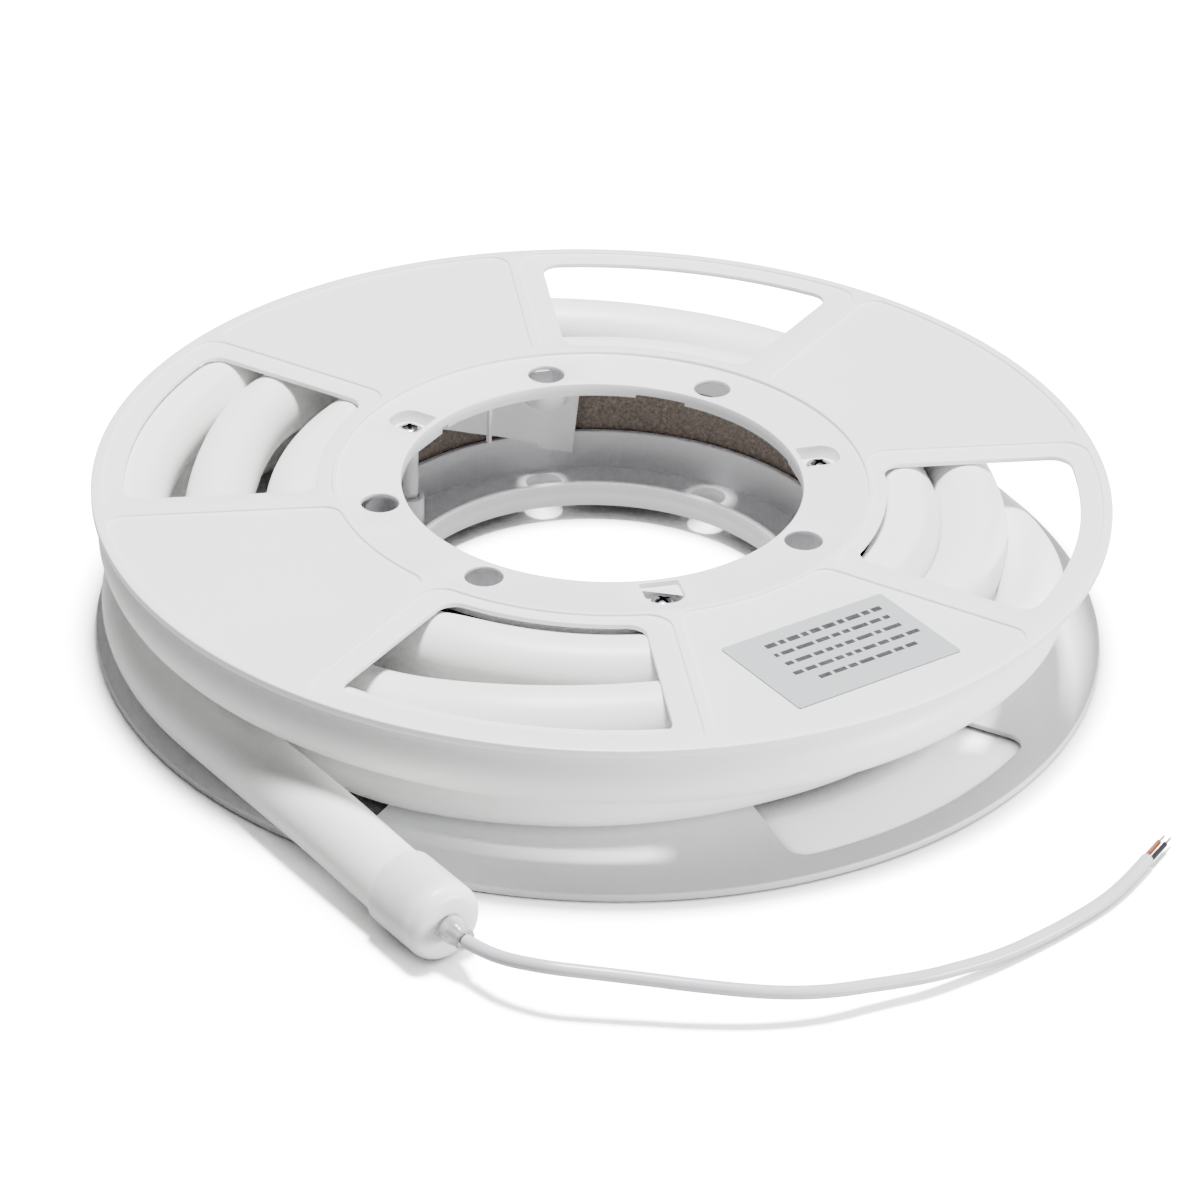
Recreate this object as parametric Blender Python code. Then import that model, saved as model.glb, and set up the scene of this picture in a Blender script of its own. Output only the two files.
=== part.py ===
"""White plastic reel wound with round LED neon flex, with its free end, end cap and lead.

Metres, +Z up. The reel lies flat with its lower rim on z = 0. The origin is the middle of the
footprint of the reel and the flex's free end. The windows of the upper flange lie on X and Y.
"""

import math

import bmesh
import bpy
from mathutils import Matrix, Vector

# Clearance left between pieces that touch
GAP = 0.0003

# Neon flex: a solid round silicone extrusion wound three turns deep in two layers
FLEX_D = 0.025
TURN_SLACK = 0.0015
LAYER_SLACK = 0.005
FLEX_SIDES = 12

# Reel hub
BORE_R = 0.0742
RING_W = 0.0243
CORE_WALL = 0.0025
SPIGOT_WALL = 0.0022
SPIGOT_H = 0.025
UPPER_SPIGOT_H = 0.008
RING_T = 0.002
RING_DROP = 0.0016
SKIRT_H = 0.005
SKIRT_T = 0.002

# Raised ring of the lower hub
LOWER_RING_Z = 0.0085
LOWER_RING_T = 0.0035
COLLAR_Z = 0.0055
COLLAR_STEP_Z = 0.0098
COLLAR_STEP = 0.0008
COLLAR_TOP = 0.0155
COLLAR_T = 0.0026

# Flanges
FLANGE_T = 0.003
RIM_W = 0.0035
OUTER_SLACK = 0.0095
RIM_CLEARANCE = 0.0017
CUFF_T = 0.0012
CUFF_DROP = 0.0055
RECESS = 0.001
BEAD_W = 0.0014
BAND_W = 0.0096
BAND_CORNER = 0.009
RIB_W = 0.0035
PANEL_CORNER = 0.007
WINDOWS = 4
WINDOW_HALF = math.radians(19.5)
WINDOW_CORNER = 0.007
WINDOW_INNER_EDGE = 0.0063
WINDOW_OUTER_EDGE = 0.0082
UPPER_TURN = 0.0
LOWER_TURN = math.radians(53.5)

# Drive holes and screws share one circle of eight places
HOLE_R = 0.007
HOLE_PLACES = [math.radians(a) for a in (116.4, 71.4, 341.4, 251.4, 206.4)]
SCREW_PLACES = [math.radians(a) for a in (161.4, 26.4, 296.4)]
WASHER_R = 0.00475
WASHER_T = 0.0006
SCREW_HEAD_R = 0.00375
SCREW_HEAD_H = 0.0016
SCREW_SHAFT_R = 0.0018
SCREW_BITE = 0.0098
CROSS_W = 0.0013
CROSS_LEN = 0.0056
CROSS_DEPTH = 0.0014
POCKET_W = 0.0145
POCKET_DEPTH = 0.005
POCKET_FLOOR = 0.002
POCKET_WALL = 0.002
BOSS_R = 0.0033
POST_R = 0.0056
POST_H = 0.015
SOCKET_DEPTH = 0.0027
PILOT_SPARE = 0.001
GUSSET_T = 0.0014

# Guide walls that hang from the upper ring beside each screw
GUIDE_T = 0.0018
GUIDE_CLEARANCE = 0.0017
GUIDE_FROM = math.radians(8)
GUIDE_TO = math.radians(54)
TAB_FROM = math.radians(44.5)
TAB_STEP = math.radians(0.4)
GUIDE_DROP_FROM = 0.0096
GUIDE_DROP_TO = 0.0324
TAB_DROP_FROM = 0.0341
TAB_DROP_TO = 0.0367
SLEEVE_T = 0.0014
SLEEVE_DROP = 0.009
FIN_AT = math.radians(26)
FIN_T = 0.0012
FIN_LEN = 0.0018
FIN_DROP = 0.0188
TO_SLEEVE = math.radians(45)

# Free end, end cap and boot
TAIL_FROM = math.radians(228.15)
TAIL_LEN = 0.122
CAP_LEN = 0.028
CAP_WALL = 0.0012
CAP_SOCKET = 0.02
CAP_ROUND = 0.0045
BOOT_LEN = 0.009
BOOT_R = 0.0048
BOOT_END_R = 0.0036

# Lead and its two bare cores
LEAD_D = 0.005
LEAD_LIFT = 0.0001
CORE_D = 0.0019
CORE_LEN = 0.012
TIP_D = 0.0011
TIP_LEN = 0.0045
CORE_SPREAD = 0.0024

# Label on one closed panel
LABEL_W = 0.07
LABEL_H = 0.046
LABEL_T = 0.00025
LABEL_AT = math.radians(-43.8)
LABEL_FROM_RIM = 0.0163

# Sizes that follow
HUB_R = BORE_R + RING_W
FLEX_R = FLEX_D / 2
TURN_PITCH = FLEX_D + TURN_SLACK
REEL_R = HUB_R + 3 * TURN_PITCH + OUTER_SLACK
CLEAR_H = 2 * FLEX_D + LAYER_SLACK
REEL_H = CLEAR_H + 2 * FLANGE_T
UPPER_Z = REEL_H - FLANGE_T
RING_TOP = REEL_H - RING_DROP
RING_UNDER = RING_TOP - RING_T
CORE_IN = HUB_R - CORE_WALL
SPIGOT_OUT = CORE_IN - GAP
SPIGOT_IN = SPIGOT_OUT - SPIGOT_WALL
PLACES_R = (BORE_R + SPIGOT_IN) / 2
INNER_TURN_R = HUB_R + GAP + FLEX_R
MIDDLE_TURN_R = INNER_TURN_R + TURN_PITCH
OUTER_TURN_R = REEL_R - RIM_CLEARANCE - FLEX_R
LOW_LAYER_Z = FLANGE_T + GAP + FLEX_R
HIGH_LAYER_Z = UPPER_Z - GAP - FLEX_R
CAP_R = FLEX_R + GAP + CAP_WALL
POCKET_TOP = RING_TOP - POCKET_DEPTH
POCKET_UNDER = POCKET_TOP - POCKET_FLOOR
LOWER_RING_TOP = LOWER_RING_Z + LOWER_RING_T
POST_TOP_Z = LOWER_RING_TOP + POST_H
SOCKET_Z = POST_TOP_Z - SOCKET_DEPTH
SCREW_END_Z = SOCKET_Z - SCREW_BITE
POCKET_START = BORE_R + SKIRT_T
LABEL_R = REEL_R - RIM_W - LABEL_FROM_RIM - LABEL_H / 2

ROUND_STEPS = 72
COIL_STEPS = 48
FINE_STEPS = 24
CORNER_STEPS = 4
OVERLAP = 0.0005
REACH = 0.01

# The outer turn from the free end inwards, clockwise: angle in degrees, share of the way from
# the middle turn out to the rim turn, and share of the way up from the low to the high layer
OUTER_TURN = [
    (228.15, 1.0, 0.0), (190, 0.97, 0.0), (150, 0.85, 0.0), (105, 0.68, 0.0), (65, 0.5, 0.0),
    (40, 0.4, 0.04), (20, 0.42, 0.35), (0, 0.62, 0.75), (-18, 0.88, 0.97), (-45, 0.98, 1.0),
    (-90, 1.0, 1.0), (-145, 1.0, 1.0), (-198, 0.97, 1.0), (-222, 0.72, 1.0), (-250, 0.28, 0.98),
    (-268, 0.02, 0.85), (-280, -0.3, 0.6),
]
TURN_STEP = 7.5

# The lead's route from the boot to its bare end, from the reel's axis
LEAD_ROUTE = [
    (0.0091, -0.2396, 0.0145), (0.0188, -0.2447, 0.0157), (0.0338, -0.2477, 0.0169),
    (0.0501, -0.2464, 0.0163), (0.0661, -0.2444, 0.0152), (0.0830, -0.2421, 0.0139),
    (0.1036, -0.2375, 0.0118), (0.1212, -0.2303, 0.0098), (0.1387, -0.2185, 0.0075),
    (0.1546, -0.2071, 0.0059), (0.1767, -0.1851, 0.0032), (0.1984, -0.1569, 0.0026),
    (0.2095, -0.1375, 0.0026), (0.2170, -0.1178, 0.0026),
]
LEAD_POINTS = 28


def polar(radius, angle, z=0.0):
    return Vector((radius * math.cos(angle), radius * math.sin(angle), z))


TAIL_DIR = polar(1.0, TAIL_FROM + math.pi / 2)
TAIL_START = polar(OUTER_TURN_R, TAIL_FROM, LOW_LAYER_Z)
CAP_BACK = TAIL_START + TAIL_DIR * TAIL_LEN
CAP_BACK.z = CAP_R
CAP_FRONT = CAP_BACK + TAIL_DIR * CAP_LEN
FOOTPRINT_FRONT = CAP_FRONT.y - TAIL_DIR.y * CAP_ROUND - (CAP_R - CAP_ROUND) * TAIL_DIR.x - CAP_ROUND
REEL_AXIS = Vector((0.0, -(REEL_R + FOOTPRINT_FRONT) / 2, 0.0))


def clear_scene():
    for obj in list(bpy.data.objects):
        bpy.data.objects.remove(obj, do_unlink=True)


def material(name, colour, roughness, metallic=0.0, alpha=1.0):
    mat = bpy.data.materials.new(name)
    mat.use_nodes = True
    shader = mat.node_tree.nodes["Principled BSDF"]
    shader.inputs["Base Color"].default_value = (*colour, 1.0)
    shader.inputs["Roughness"].default_value = roughness
    shader.inputs["Metallic"].default_value = metallic
    shader.inputs["Alpha"].default_value = alpha
    return mat


def link_mesh(name, bm, mat, smooth=True):
    bmesh.ops.recalc_face_normals(bm, faces=bm.faces)
    mesh = bpy.data.meshes.new(name)
    bm.to_mesh(mesh)
    bm.free()
    if smooth:
        mesh.shade_smooth()
        mesh.set_sharp_from_angle(angle=math.radians(35))
    obj = bpy.data.objects.new(name, mesh)
    bpy.context.scene.collection.objects.link(obj)
    if mat:
        mesh.materials.append(mat)
    return obj


def lathe(bm, profile, steps, matrix=Matrix()):
    """Turn a profile of (radius, height) about Z; a profile that ends on the axis closes there."""
    rings = []
    for radius, z in profile:
        count = steps if radius > 1e-9 else 1
        rings.append([bm.verts.new(matrix @ polar(radius, 2 * math.pi * i / steps, z)) for i in range(count)])
    if len(rings[0]) > 1:
        rings.append(rings[0])
    for low, high in zip(rings, rings[1:]):
        for i in range(steps):
            j = (i + 1) % steps
            corners = [low[i % len(low)], low[j % len(low)], high[j % len(high)], high[i % len(high)]]
            bm.faces.new(list(dict.fromkeys(corners)))


def prism(bm, outline, low, high):
    """Extrude a closed outline of (x, y) points from one height to another."""
    below = [bm.verts.new((x, y, low)) for x, y in outline]
    above = [bm.verts.new((x, y, high)) for x, y in outline]
    bm.faces.new(list(reversed(below)))
    bm.faces.new(above)
    for i in range(len(outline)):
        j = (i + 1) % len(outline)
        bm.faces.new((below[i], below[j], above[j], above[i]))


def arc(cx, cy, radius, start, end, steps):
    return [(cx + radius * math.cos(start + (end - start) * i / steps),
             cy + radius * math.sin(start + (end - start) * i / steps)) for i in range(steps + 1)]


def sector(r_in, r_out, centre, half, side, corner, steps):
    """Outline of a ring sector with rounded corners and straight sides.

    The sides run parallel to the radial lines at the half angle, and lie side outside them."""
    at_out = half + math.asin((side - corner) / (r_out - corner))
    at_in = half + math.asin((side - corner) / (r_in + corner))
    points = []
    for at, start, end in ((-at_out, -half - math.pi / 2, -at_out), (at_out, at_out, half + math.pi / 2)):
        c = polar(r_out - corner, centre + at)
        points += arc(c.x, c.y, corner, centre + start, centre + end, CORNER_STEPS)
        if at < 0:
            points += arc(0, 0, r_out, centre - at_out, centre + at_out, steps)[1:-1]
    for at, start, end in ((at_in, half + math.pi / 2, at_in + math.pi),
                           (-at_in, math.pi - at_in, 1.5 * math.pi - half)):
        c = polar(r_in + corner, centre + at)
        points += arc(c.x, c.y, corner, centre + start, centre + end, CORNER_STEPS)
        if at > 0:
            points += arc(0, 0, r_in, centre + at_in, centre - at_in, steps)[1:-1]
    return points


def bar(centre_r, angle, length, width, radial_from=None):
    """Corners of a rectangle lying along a radius."""
    along = polar(1.0, angle)
    across = polar(1.0, angle + math.pi / 2)
    start = centre_r - length / 2 if radial_from is None else radial_from
    ends = ((start, -1), (start + length, -1), (start + length, 1), (start, 1))
    return [tuple((along * u + across * (s * width / 2)).xy) for u, s in ends]


def circle(centre, radius, steps=FINE_STEPS):
    return arc(centre.x, centre.y, radius, 0.0, 2 * math.pi, steps)[:-1]


def boolean(obj, bm, operation):
    tool = link_mesh(obj.name + "_tool", bm, None, smooth=False)
    tool.hide_render = True
    tool.display_type = "WIRE"
    tool.location = obj.location
    modifier = obj.modifiers.new("Boolean", "BOOLEAN")
    modifier.operation = operation
    modifier.solver = "EXACT"
    modifier.object = tool


def cut_panels(flange, turn, face, outward):
    """Sink eight panels into a flange's outer face, leaving its rim, ribs and hub bead."""
    bm = bmesh.new()
    r_in = HUB_R + BEAD_W
    r_out = REEL_R - RIM_W
    step = math.pi / WINDOWS
    rest = 2 * step - WINDOW_HALF
    low, high = sorted((face - outward * RECESS, face + outward * REACH))
    for i in range(WINDOWS):
        at = turn + 2 * i * step
        prism(bm, sector(r_in, r_out, at, WINDOW_HALF, BAND_W, BAND_CORNER, 10), low, high)
        prism(bm, sector(r_in, r_out, at + step, rest - step, -BAND_W - RIB_W, PANEL_CORNER, 10), low, high)
    boolean(flange, bm, "DIFFERENCE")


def cut_openings(flange, turn, low, high):
    """Cut the windows and drive holes of a flange, and the screw holes."""
    bm = bmesh.new()
    r_in = HUB_R + WINDOW_INNER_EDGE
    r_out = REEL_R - RIM_W - WINDOW_OUTER_EDGE
    for i in range(WINDOWS):
        at = turn + i * 2 * math.pi / WINDOWS
        prism(bm, sector(r_in, r_out, at, WINDOW_HALF, 0.0, WINDOW_CORNER, 10), low, high)
    for angle in HOLE_PLACES:
        prism(bm, circle(polar(PLACES_R, angle), HOLE_R), low, high)
    return bm


def lower_flange(mat):
    """Flange that stands on its rim, with a raised hub ring, a spigot for the core and three posts."""
    bm = bmesh.new()
    lathe(bm, [
        (BORE_R + COLLAR_STEP, COLLAR_Z), (BORE_R + COLLAR_T, COLLAR_Z), (BORE_R + COLLAR_T, LOWER_RING_Z),
        (SPIGOT_IN, LOWER_RING_Z), (SPIGOT_IN, 0), (REEL_R, 0), (REEL_R, FLANGE_T), (SPIGOT_OUT, FLANGE_T),
        (SPIGOT_OUT, FLANGE_T + SPIGOT_H), (SPIGOT_IN, FLANGE_T + SPIGOT_H), (SPIGOT_IN, LOWER_RING_TOP),
        (BORE_R + COLLAR_T, LOWER_RING_TOP), (BORE_R + COLLAR_T, COLLAR_TOP), (BORE_R, COLLAR_TOP),
        (BORE_R, COLLAR_STEP_Z), (BORE_R + COLLAR_STEP, COLLAR_STEP_Z),
    ], ROUND_STEPS)
    flange = link_mesh("lower_flange", bm, mat)
    flange.location = REEL_AXIS
    bm = bmesh.new()
    for angle in SCREW_PLACES:
        prism(bm, circle(polar(PLACES_R, angle), POST_R), LOWER_RING_TOP - OVERLAP, POST_TOP_Z)
    boolean(flange, bm, "UNION")
    bm = bmesh.new()
    for angle in SCREW_PLACES:
        start = PLACES_R + POST_R - OVERLAP
        length = SPIGOT_IN + OVERLAP - start
        prism(bm, bar(0, angle, length, GUSSET_T, start), LOWER_RING_TOP - OVERLAP, POST_TOP_Z - OVERLAP)
    boolean(flange, bm, "UNION")
    cut_panels(flange, LOWER_TURN, 0.0, -1)
    bm = cut_openings(flange, LOWER_TURN, -REACH, COLLAR_TOP + REACH)
    for angle in SCREW_PLACES:
        lathe(bm, [
            (0, SCREW_END_Z - PILOT_SPARE), (SCREW_SHAFT_R + GAP, SCREW_END_Z - PILOT_SPARE),
            (SCREW_SHAFT_R + GAP, SOCKET_Z), (BOSS_R + GAP, SOCKET_Z),
            (BOSS_R + GAP, POST_TOP_Z + REACH), (0, POST_TOP_Z + REACH),
        ], FINE_STEPS, Matrix.Translation(polar(PLACES_R, angle)))
    boolean(flange, bm, "DIFFERENCE")


def upper_flange(mat):
    """Flange held by three screws in sunk pockets, with guide walls hanging from its hub ring."""
    bm = bmesh.new()
    lathe(bm, [
        (BORE_R, RING_TOP), (HUB_R, RING_TOP), (HUB_R, REEL_H), (REEL_R, REEL_H), (REEL_R, UPPER_Z),
        (HUB_R + GAP + CUFF_T, UPPER_Z), (HUB_R + GAP + CUFF_T, UPPER_Z - CUFF_DROP),
        (HUB_R + GAP, UPPER_Z - CUFF_DROP), (HUB_R + GAP, UPPER_Z),
        (SPIGOT_OUT, UPPER_Z), (SPIGOT_OUT, UPPER_Z - UPPER_SPIGOT_H), (SPIGOT_IN, UPPER_Z - UPPER_SPIGOT_H),
        (SPIGOT_IN, RING_UNDER), (POCKET_START, RING_UNDER), (POCKET_START, RING_TOP - SKIRT_H),
        (BORE_R, RING_TOP - SKIRT_H),
    ], ROUND_STEPS)
    flange = link_mesh("upper_flange", bm, mat)
    flange.location = REEL_AXIS
    inside = RING_UNDER + OVERLAP
    bm = bmesh.new()
    for angle in SCREW_PLACES:
        start = POCKET_START - OVERLAP
        length = SPIGOT_IN + OVERLAP - start
        prism(bm, bar(0, angle, length, POCKET_W + 2 * POCKET_WALL, start), POCKET_UNDER, inside)
    boolean(flange, bm, "UNION")
    bm = bmesh.new()
    for angle in SCREW_PLACES:
        guide_wall(bm, angle, inside)
    boolean(flange, bm, "UNION")
    bm = bmesh.new()
    for angle in SCREW_PLACES:
        prism(bm, circle(polar(PLACES_R, angle), BOSS_R), SOCKET_Z + GAP, POCKET_UNDER + OVERLAP)
        prism(bm, circle(polar(PLACES_R, angle - TO_SLEEVE), HOLE_R + SLEEVE_T), RING_UNDER - SLEEVE_DROP, inside)
        fin = bar(0, angle - FIN_AT, FIN_LEN + OVERLAP, FIN_T, POCKET_START - OVERLAP)
        prism(bm, fin, RING_UNDER - FIN_DROP, inside)
    boolean(flange, bm, "UNION")
    cut_panels(flange, UPPER_TURN, REEL_H, 1)
    bm = cut_openings(flange, UPPER_TURN, RING_UNDER - SLEEVE_DROP - OVERLAP, REEL_H + REACH)
    boolean(flange, bm, "DIFFERENCE")
    bm = bmesh.new()
    for angle in SCREW_PLACES:
        outline = bar(0, angle, PLACES_R - POCKET_START, POCKET_W, POCKET_START)
        end = polar(PLACES_R, angle)
        tip = arc(end.x, end.y, POCKET_W / 2, angle - math.pi / 2, angle + math.pi / 2, 10)
        prism(bm, [outline[0]] + tip + [outline[3]], POCKET_TOP, REEL_H + REACH)
    boolean(flange, bm, "DIFFERENCE")
    bm = bmesh.new()
    for angle in SCREW_PLACES:
        prism(bm, circle(polar(PLACES_R, angle), SCREW_SHAFT_R + GAP), SOCKET_Z - REACH, REEL_H)
    boolean(flange, bm, "DIFFERENCE")


def guide_wall(bm, angle, top):
    """Curved wall hung from the ring clockwise of a screw, with a slanted lower edge and a deeper tab."""
    outer = SPIGOT_IN - GUIDE_CLEARANCE
    inner = outer - GUIDE_T
    rows = []
    for i in range(11):
        share = i / 10
        at = GUIDE_FROM + (TAB_FROM - GUIDE_FROM) * share
        rows.append((at, GUIDE_DROP_FROM + (GUIDE_DROP_TO - GUIDE_DROP_FROM) * share))
    for i in range(4):
        share = i / 3
        at = TAB_FROM + TAB_STEP + (GUIDE_TO - TAB_FROM - TAB_STEP) * share
        rows.append((at, TAB_DROP_FROM + (TAB_DROP_TO - TAB_DROP_FROM) * share))
    sections = []
    for at, drop in rows:
        low = RING_UNDER - drop
        corners = (polar(inner, angle - at, top), polar(inner, angle - at, low),
                   polar(outer, angle - at, low), polar(outer, angle - at, top))
        sections.append([bm.verts.new(corner) for corner in corners])
    for near, far in zip(sections, sections[1:]):
        for k in range(4):
            m = (k + 1) % 4
            bm.faces.new((near[k], near[m], far[m], far[k]))
    bm.faces.new(sections[0])
    bm.faces.new(sections[-1])


def core_tube(mat):
    """Cardboard tube between the flanges, outside both spigots."""
    bm = bmesh.new()
    low = FLANGE_T + GAP
    high = UPPER_Z - GAP
    lathe(bm, [(CORE_IN, low), (HUB_R, low), (HUB_R, high), (CORE_IN, high)], ROUND_STEPS)
    link_mesh("core_tube", bm, mat).location = REEL_AXIS


def screws(mat):
    for index, angle in enumerate(SCREW_PLACES):
        bm = bmesh.new()
        seat = POCKET_TOP + GAP
        rise = seat + WASHER_T
        dome = [(0, rise + SCREW_HEAD_H)]
        dome += [(SCREW_HEAD_R * math.sin(math.radians(t)), rise + SCREW_HEAD_H * math.cos(math.radians(t)))
                 for t in (26, 46, 64, 78, 90)]
        body = [(WASHER_R, rise), (WASHER_R, seat), (SCREW_SHAFT_R, seat),
                (SCREW_SHAFT_R, SCREW_END_Z), (0, SCREW_END_Z)]
        lathe(bm, dome + body, 20, Matrix.Translation(polar(PLACES_R, angle)))
        screw = link_mesh("screw_%d" % (index + 1), bm, mat)
        screw.location = REEL_AXIS
        for turn in (0.0, math.pi / 2):
            bm = bmesh.new()
            centre = polar(PLACES_R, angle)
            along = polar(CROSS_LEN / 2, angle + 0.6 + turn)
            across = polar(CROSS_W / 2, angle + 0.6 + turn + math.pi / 2)
            corners = [centre - along - across, centre + along - across, centre + along + across, centre - along + across]
            top = rise + SCREW_HEAD_H
            prism(bm, [tuple(c.xy) for c in corners], top - CROSS_DEPTH, top + REACH)
            boolean(screw, bm, "DIFFERENCE")


def coil_profile():
    """Outline of two turns side by side in two layers: four circles with their middle filled."""
    quarter = FLEX_SIDES // 4
    corners = (
        (INNER_TURN_R, LOW_LAYER_Z, 90), (MIDDLE_TURN_R, LOW_LAYER_Z, 180),
        (MIDDLE_TURN_R, HIGH_LAYER_Z, 270), (INNER_TURN_R, HIGH_LAYER_Z, 0),
    )
    points = []
    for radius, z, start in corners:
        points += arc(radius, z, FLEX_R, math.radians(start), math.radians(start + 270), 3 * quarter)
    return points


def spline(points, t):
    """Read a smooth curve through all the points at t, counted in points."""
    i = min(int(t), len(points) - 2)
    u = t - i
    p1, p2 = Vector(points[i]), Vector(points[i + 1])
    p0 = Vector(points[i - 1]) if i > 0 else 2 * p1 - p2
    p3 = Vector(points[i + 2]) if i + 2 < len(points) else 2 * p2 - p1
    return 0.5 * (2 * p1 + (p2 - p0) * u + (2 * p0 - 5 * p1 + 4 * p2 - p3) * u * u + (3 * p1 - p0 - 3 * p2 + p3) * u ** 3)


def outer_turn_points():
    """Centre line of the outer turn, read at even steps of its angle, tail first."""
    stations = [Vector((out, lift, 0)) for _, out, lift in OUTER_TURN]
    angles = [angle for angle, _, _ in OUTER_TURN]
    points = []
    angle = angles[0]
    while angle >= angles[-1]:
        i = max(k for k in range(len(angles)) if angles[k] >= angle)
        i = min(i, len(angles) - 2)
        share = (angles[i] - angle) / (angles[i] - angles[i + 1])
        out, lift, _ = spline(stations, i + share)
        radius = MIDDLE_TURN_R + out * (OUTER_TURN_R - MIDDLE_TURN_R)
        z = LOW_LAYER_Z + lift * (HIGH_LAYER_Z - LOW_LAYER_Z)
        points.append(polar(radius, math.radians(angle), z))
        angle -= TURN_STEP
    return points


def tail_points():
    """Centre line of the free end, from inside the end cap back to the coil."""
    length = TAIL_LEN + CAP_SOCKET - GAP
    over_rim = math.sqrt(REEL_R ** 2 - OUTER_TURN_R ** 2)
    points = []
    steps = 9
    for i in range(steps):
        along = length * (1 - i / steps)
        drop = min(max((along - over_rim) / (TAIL_LEN - over_rim), 0.0), 1.0)
        point = TAIL_START + TAIL_DIR * along
        point.z += (CAP_R - LOW_LAYER_Z) * drop * drop * (3 - 2 * drop)
        points.append(point)
    return points


def sweep(bm, points, radius, sides):
    """Round tube along a line of points, with flat ends."""
    rings = []
    side = None
    for i, point in enumerate(points):
        ahead = points[min(i + 1, len(points) - 1)] - points[max(i - 1, 0)]
        ahead.normalize()
        side = ahead.cross(Vector((0, 0, 1))).normalized() if side is None else (side - ahead * side.dot(ahead)).normalized()
        up = side.cross(ahead)
        turns = [2 * math.pi * k / sides for k in range(sides)]
        rings.append([bm.verts.new(point + radius * (side * math.cos(t) + up * math.sin(t))) for t in turns])
    for low, high in zip(rings, rings[1:]):
        for k in range(sides):
            m = (k + 1) % sides
            bm.faces.new((low[k], low[m], high[m], high[k]))
    bm.faces.new(list(reversed(rings[0])))
    bm.faces.new(rings[-1])


def neon_flex(mat):
    """The wound flex: a turned coil of the inner turns, joined by its outer turn and free end."""
    bm = bmesh.new()
    lathe(bm, coil_profile(), COIL_STEPS)
    coil = link_mesh("neon_flex", bm, mat)
    coil.location = REEL_AXIS
    bm = bmesh.new()
    sweep(bm, tail_points() + outer_turn_points(), FLEX_R, FLEX_SIDES)
    boolean(coil, bm, "UNION")


def along_tail(base):
    """Matrix that lays a turned piece's axis along the free end, from a base point."""
    across = Vector((0, 0, 1)).cross(TAIL_DIR)
    turn = Matrix((across, Vector((0, 0, 1)), TAIL_DIR)).transposed().to_4x4()
    return Matrix.Translation(base) @ turn


def end_cap(mat):
    bm = bmesh.new()
    socket = FLEX_R + GAP
    profile = [(0, CAP_SOCKET), (socket, CAP_SOCKET), (socket, 0), (CAP_R, 0)]
    profile += [(CAP_R - CAP_ROUND + CAP_ROUND * math.cos(t), CAP_LEN - CAP_ROUND + CAP_ROUND * math.sin(t))
                for t in (0, math.pi / 8, math.pi / 4, 3 * math.pi / 8, math.pi / 2)]
    profile += [(0, CAP_LEN)]
    lathe(bm, profile, FINE_STEPS, along_tail(CAP_BACK))
    link_mesh("end_cap", bm, mat).location = REEL_AXIS


def boot(mat):
    bm = bmesh.new()
    profile = [(0, 0), (BOOT_R, 0), (BOOT_R, BOOT_LEN * 0.35), (BOOT_END_R, BOOT_LEN), (0, BOOT_LEN)]
    lathe(bm, profile, 16, along_tail(CAP_FRONT + TAIL_DIR * GAP))
    link_mesh("lead_boot", bm, mat).location = REEL_AXIS


def lead_points():
    start = CAP_FRONT + TAIL_DIR * (BOOT_LEN + 2 * GAP)
    route = [start] + [Vector(p) for p in LEAD_ROUTE]
    return [spline(route, (len(route) - 1) * i / (LEAD_POINTS - 1)) for i in range(LEAD_POINTS)]


def lead(mat):
    points = lead_points()
    curve = bpy.data.curves.new("lead", "CURVE")
    curve.dimensions = "3D"
    curve.bevel_depth = LEAD_D / 2 - LEAD_LIFT
    curve.bevel_resolution = 3
    curve.use_fill_caps = True
    line = curve.splines.new("POLY")
    line.points.add(len(points) - 1)
    for target, point in zip(line.points, points):
        target.co = (*point, 1.0)
    curve.materials.append(mat)
    obj = bpy.data.objects.new("lead", curve)
    obj.location = REEL_AXIS
    bpy.context.scene.collection.objects.link(obj)


def lead_cores(brown, black):
    """Two insulated cores side by side at the lead's end, each with a bare tinned tip."""
    points = lead_points()
    ahead = (points[-1] - points[-2]).normalized()
    aside = ahead.cross(Vector((0, 0, 1))).normalized()
    turn = Matrix((aside, Vector((0, 0, 1)), ahead)).transposed().to_4x4()
    for name, sign, mat in (("core_brown", -1, brown), ("core_black", 1, black)):
        bm = bmesh.new()
        base = points[-1] + ahead * GAP + aside * (sign * CORE_SPREAD / 2)
        profile = [(0, 0), (CORE_D / 2, 0), (CORE_D / 2, CORE_LEN), (TIP_D / 2, CORE_LEN),
                   (TIP_D / 2, CORE_LEN + TIP_LEN), (0, CORE_LEN + TIP_LEN)]
        lathe(bm, profile, 10, Matrix.Translation(base) @ turn)
        link_mesh(name, bm, mat).location = REEL_AXIS


def label(mat):
    bm = bmesh.new()
    low = REEL_H - RECESS + GAP
    prism(bm, bar(LABEL_R, LABEL_AT, LABEL_H, LABEL_W), low, low + LABEL_T)
    link_mesh("label", bm, mat, smooth=False).location = REEL_AXIS


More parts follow.
